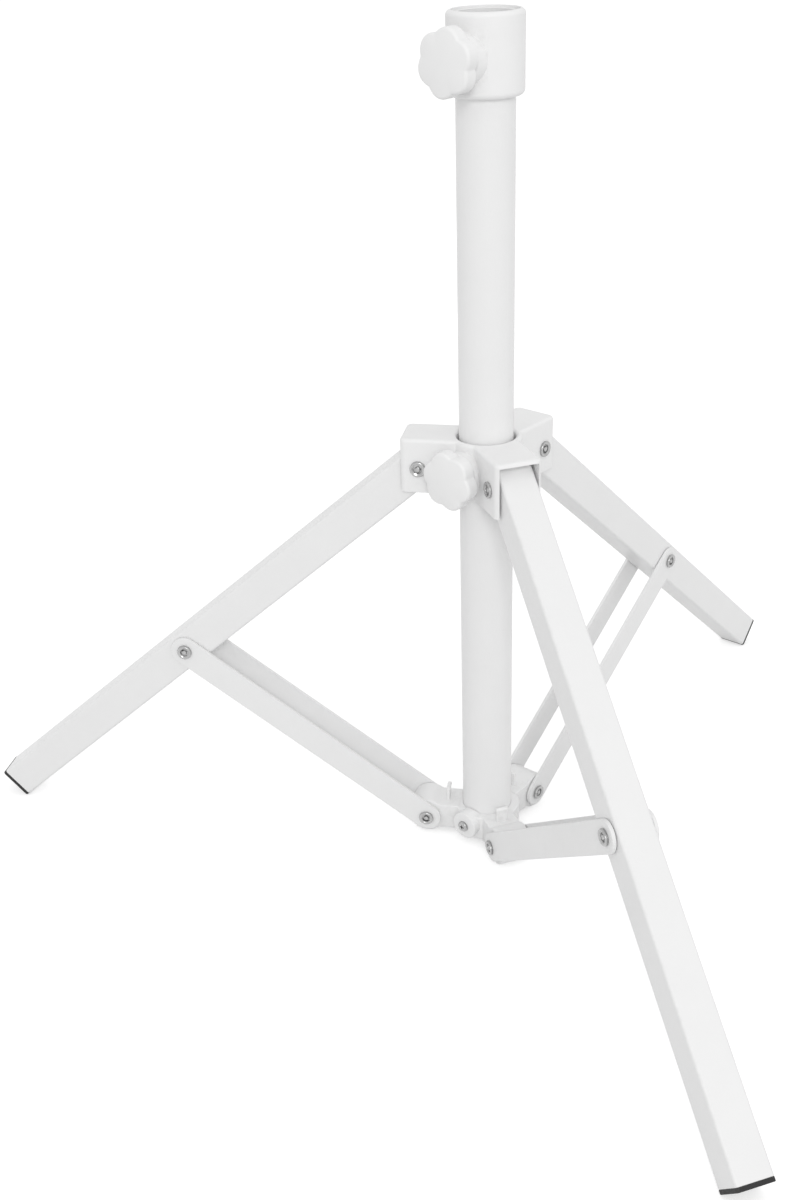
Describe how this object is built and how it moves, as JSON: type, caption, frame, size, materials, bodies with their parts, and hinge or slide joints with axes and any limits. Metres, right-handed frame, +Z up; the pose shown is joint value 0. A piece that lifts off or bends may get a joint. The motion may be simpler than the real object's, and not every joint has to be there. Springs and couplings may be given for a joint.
{
  "type": "folding tripod stand",
  "caption": "Folding tripod stand for a salon hood dryer: fixed tube with a top clamp collar, sliding upper hub with a star knob, braced square legs and rubber feet",
  "frame": {"origin": "on the floor, under the centre of the bounding box", "axes": "+Z up along the tube; one leg points along -Y and the other two at 30 and 150 degrees from +X; both knobs point at 210 degrees"},
  "size_m": [0.603, 0.5226, 0.508],
  "materials": {
    "white_powder_coat": "satin white powder coat on steel",
    "white_plastic": "fine-grained moulded white plastic",
    "zinc_steel": "zinc-plated steel",
    "brass": "turned brass",
    "nylon": "natural nylon",
    "black_rubber": "moulded black rubber"
  },
  "bodies": {
    "mast": {"main_tube": "white_powder_coat", "top_collar": "white_plastic", "top_insert": "brass", "lower_hub": "white_plastic", "lower_hub_screw": "zinc_steel", "brace_hub_rivets": "zinc_steel"},
    "upper_hub": {"upper_hub": "white_plastic", "hub_insert": "brass", "leg_pivot_rivets": "zinc_steel"},
    "hub_knob": {"hub_knob": "white_plastic", "hub_clamp_screw": "zinc_steel", "hub_screw_tip": "nylon"},
    "top_knob": {"top_knob": "white_plastic", "top_clamp_screw": "zinc_steel", "top_screw_tip": "nylon"},
    "brace_left": {"brace_left_a": "white_powder_coat", "brace_left_b": "white_powder_coat"},
    "leg_left": {"leg_left": "white_powder_coat", "foot_left": "black_rubber", "leg_spacer_left": "nylon", "brace_leg_rivet_left": "zinc_steel"},
    "brace_front": {"brace_front_a": "white_powder_coat", "brace_front_b": "white_powder_coat"},
    "leg_front": {"leg_front": "white_powder_coat", "foot_front": "black_rubber", "leg_spacer_front": "nylon", "brace_leg_rivet_front": "zinc_steel"},
    "brace_right": {"brace_right_a": "white_powder_coat", "brace_right_b": "white_powder_coat"},
    "leg_right": {"leg_right": "white_powder_coat", "foot_right": "black_rubber", "leg_spacer_right": "nylon", "brace_leg_rivet_right": "zinc_steel"}
  },
  "joints": [
    {"name": "fold_left", "type": "hinge", "parent": "mast", "child": "brace_left", "pos_m": [-0.03377, 0.10071, 0.0125], "axis": [0.5, 0.866, 0], "range_deg": [0, 48]},
    {"name": "leg_swing_left", "type": "hinge", "parent": "brace_left", "child": "leg_left", "pos_m": [-0.16966, 0.17916, 0.12759], "axis": [0.5, 0.866, 0], "range_deg": [-91.74, 0]},
    {"name": "fold_front", "type": "hinge", "parent": "mast", "child": "brace_front", "pos_m": [0, 0.04221, 0.0125], "axis": [-1, 0, 0], "range_deg": [0, 48]},
    {"name": "leg_swing_front", "type": "hinge", "parent": "brace_front", "child": "leg_front", "pos_m": [0, -0.11469, 0.12759], "axis": [-1, 0, 0], "range_deg": [-91.74, 0]},
    {"name": "fold_right", "type": "hinge", "parent": "mast", "child": "brace_right", "pos_m": [0.03377, 0.10071, 0.0125], "axis": [0.5, -0.866, 0], "range_deg": [0, 48]},
    {"name": "leg_swing_right", "type": "hinge", "parent": "brace_right", "child": "leg_right", "pos_m": [0.16966, 0.17916, 0.12759], "axis": [0.5, -0.866, 0], "range_deg": [-91.74, 0]},
    {"name": "hub_level", "type": "hinge", "parent": "leg_left", "child": "upper_hub", "pos_m": [-0.03334, 0.10046, 0.26203], "axis": [0.5, 0.866, 0], "range_deg": [0, 43.74]},
    {"name": "hub_knob_turn", "type": "hinge", "parent": "upper_hub", "child": "hub_knob", "pos_m": [-0.03118, 0.06321, 0.26203], "axis": [-0.866, -0.5, 0], "range_deg": [0, 720]},
    {"name": "top_knob_turn", "type": "hinge", "parent": "mast", "child": "top_knob", "pos_m": [-0.02858, 0.06471, 0.4856], "axis": [-0.866, -0.5, 0], "range_deg": [0, 720]}
  ],
  "couplings": [
    {"joint": "leg_swing_left", "follows": "fold_left", "ratio": -1.911},
    {"joint": "fold_front", "follows": "fold_left", "ratio": 1},
    {"joint": "leg_swing_front", "follows": "fold_left", "ratio": -1.911},
    {"joint": "fold_right", "follows": "fold_left", "ratio": 1},
    {"joint": "leg_swing_right", "follows": "fold_left", "ratio": -1.911},
    {"joint": "hub_level", "follows": "fold_left", "ratio": 0.911}
  ]
}
